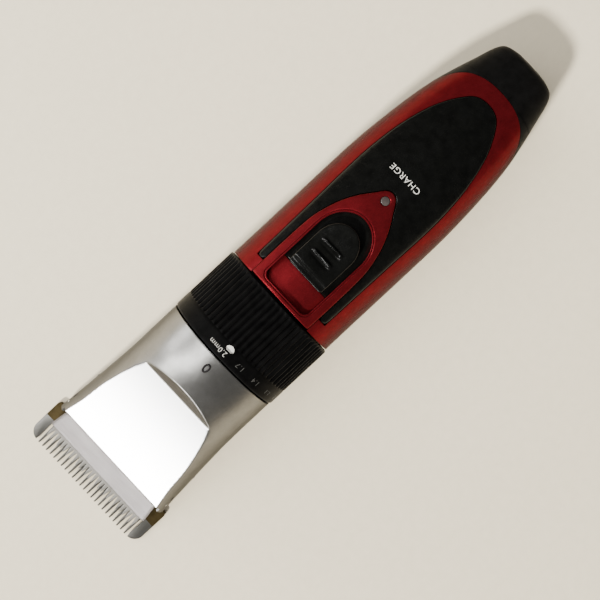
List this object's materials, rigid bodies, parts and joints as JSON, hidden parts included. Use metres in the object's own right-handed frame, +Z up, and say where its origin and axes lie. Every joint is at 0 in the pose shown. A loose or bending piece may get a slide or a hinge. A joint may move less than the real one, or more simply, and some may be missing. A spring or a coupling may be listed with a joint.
{
  "type": "hair clipper",
  "caption": "Cordless hair clipper with a faceted head, toothed blade set, ridged adjusting ring, sliding switch and tapered tail.",
  "frame": {"origin": "middle of the clipper's footprint, on the surface it lies on", "axes": "+X towards the blade along the handle, +Y across, +Z up on the switch side"},
  "size_m": [0.1774, 0.0466, 0.0405],
  "materials": {
    "red_paint": "dark metallic red gloss lacquer",
    "black_plastic": "satin moulded black",
    "black_gloss": "gloss moulded black",
    "silver_paint": "satin silver paint, polished on the facet",
    "satin_silver": "satin silver",
    "titanium_steel": "ground steel with a dark titanium coat",
    "steel": "bright steel",
    "white_ceramic": "fine ground ceramic",
    "brass": "plain brass",
    "green_board": "laminate board",
    "white_nylon": "natural nylon",
    "battery_sleeve": "shrink sleeve",
    "clear_lens": "clear plastic lens",
    "red_led": "moulded"
  },
  "bodies": {
    "handle": {"upper_shell": "red_paint", "lower_shell": "black_plastic", "face_panel": "black_gloss", "switch_bezel": "red_paint", "head_shell": "silver_paint", "pointer_mark": "silver_paint", "chassis_tube": "black_plastic", "motor_can": "steel", "motor_end_cap": "white_nylon", "motor_bush": "brass", "motor_mount": "white_nylon", "lever_bracket": "black_plastic", "pivot_pin": "steel", "battery_cell": "battery_sleeve", "battery_button": "steel", "battery_contact_front": "brass", "battery_contact_rear": "brass", "circuit_board": "green_board", "switch_housing": "steel", "charge_led": "red_led", "indicator_lens": "clear_lens", "charging_socket": "black_gloss", "socket_pin": "brass", "shell_screw": "steel"},
    "ring": {"adjust_ring": "black_plastic"},
    "button": {"switch_button": "black_gloss", "switch_slider": "white_nylon"},
    "rotor": {"motor_shaft": "steel", "eccentric_wheel": "white_nylon", "eccentric_pin": "steel"},
    "lever": {"drive_lever": "white_nylon"},
    "length_slider": {"slider_ring": "white_nylon", "push_rod_left": "steel", "push_rod_right": "steel"},
    "blade_module": {"fixed_blade": "titanium_steel", "blade_holder": "black_plastic", "blade_cover": "satin_silver", "blade_screw_1": "steel", "blade_screw_2": "steel"},
    "carriage": {"length_carriage": "black_plastic", "blade_spring_left": "steel", "blade_spring_right": "steel"},
    "cutter": {"moving_blade": "white_ceramic", "drive_fork": "white_nylon"}
  },
  "joints": [
    {"name": "ring_turn", "type": "hinge", "parent": "handle", "child": "ring", "pos_m": [0, 0, 0.0195], "axis": [1, 0, 0], "range_deg": [0, 76]},
    {"name": "switch_slide", "type": "slide", "parent": "handle", "child": "button", "axis": [1, 0, 0], "range_m": [0, 0.005]},
    {"name": "motor_spin", "type": "hinge", "parent": "handle", "child": "rotor", "pos_m": [0, 0, 0.0195], "axis": [1, 0, 0], "continuous": true},
    {"name": "slider_advance", "type": "slide", "parent": "handle", "child": "length_slider", "axis": [1, 0, 0], "range_m": [0, 0.00125]},
    {"name": "module_release", "type": "hinge", "parent": "handle", "child": "blade_module", "pos_m": [0.062, 0, 0.0011], "axis": [0, 1, 0], "range_deg": [0, 40]},
    {"name": "carriage_advance", "type": "slide", "parent": "blade_module", "child": "carriage", "axis": [1, 0, 0], "range_m": [0, 0.00125]},
    {"name": "cutter_stroke", "type": "slide", "parent": "carriage", "child": "cutter", "axis": [0, 1, 0], "range_m": [-0.0009, 0.0009]},
    {"name": "lever_swing", "type": "hinge", "parent": "handle", "child": "lever", "pos_m": [0.056, 0, 0.0195], "axis": [0, 0, 1], "range_deg": [-4.5, 4.5]}
  ],
  "couplings": [
    {"joint": "slider_advance", "follows": "ring_turn", "m_per_rad": 0.00090467},
    {"joint": "carriage_advance", "follows": "ring_turn", "m_per_rad": 0.00090467},
    {"joint": "lever_swing", "follows": "cutter_stroke", "rad_per_m": 60.976}
  ]
}
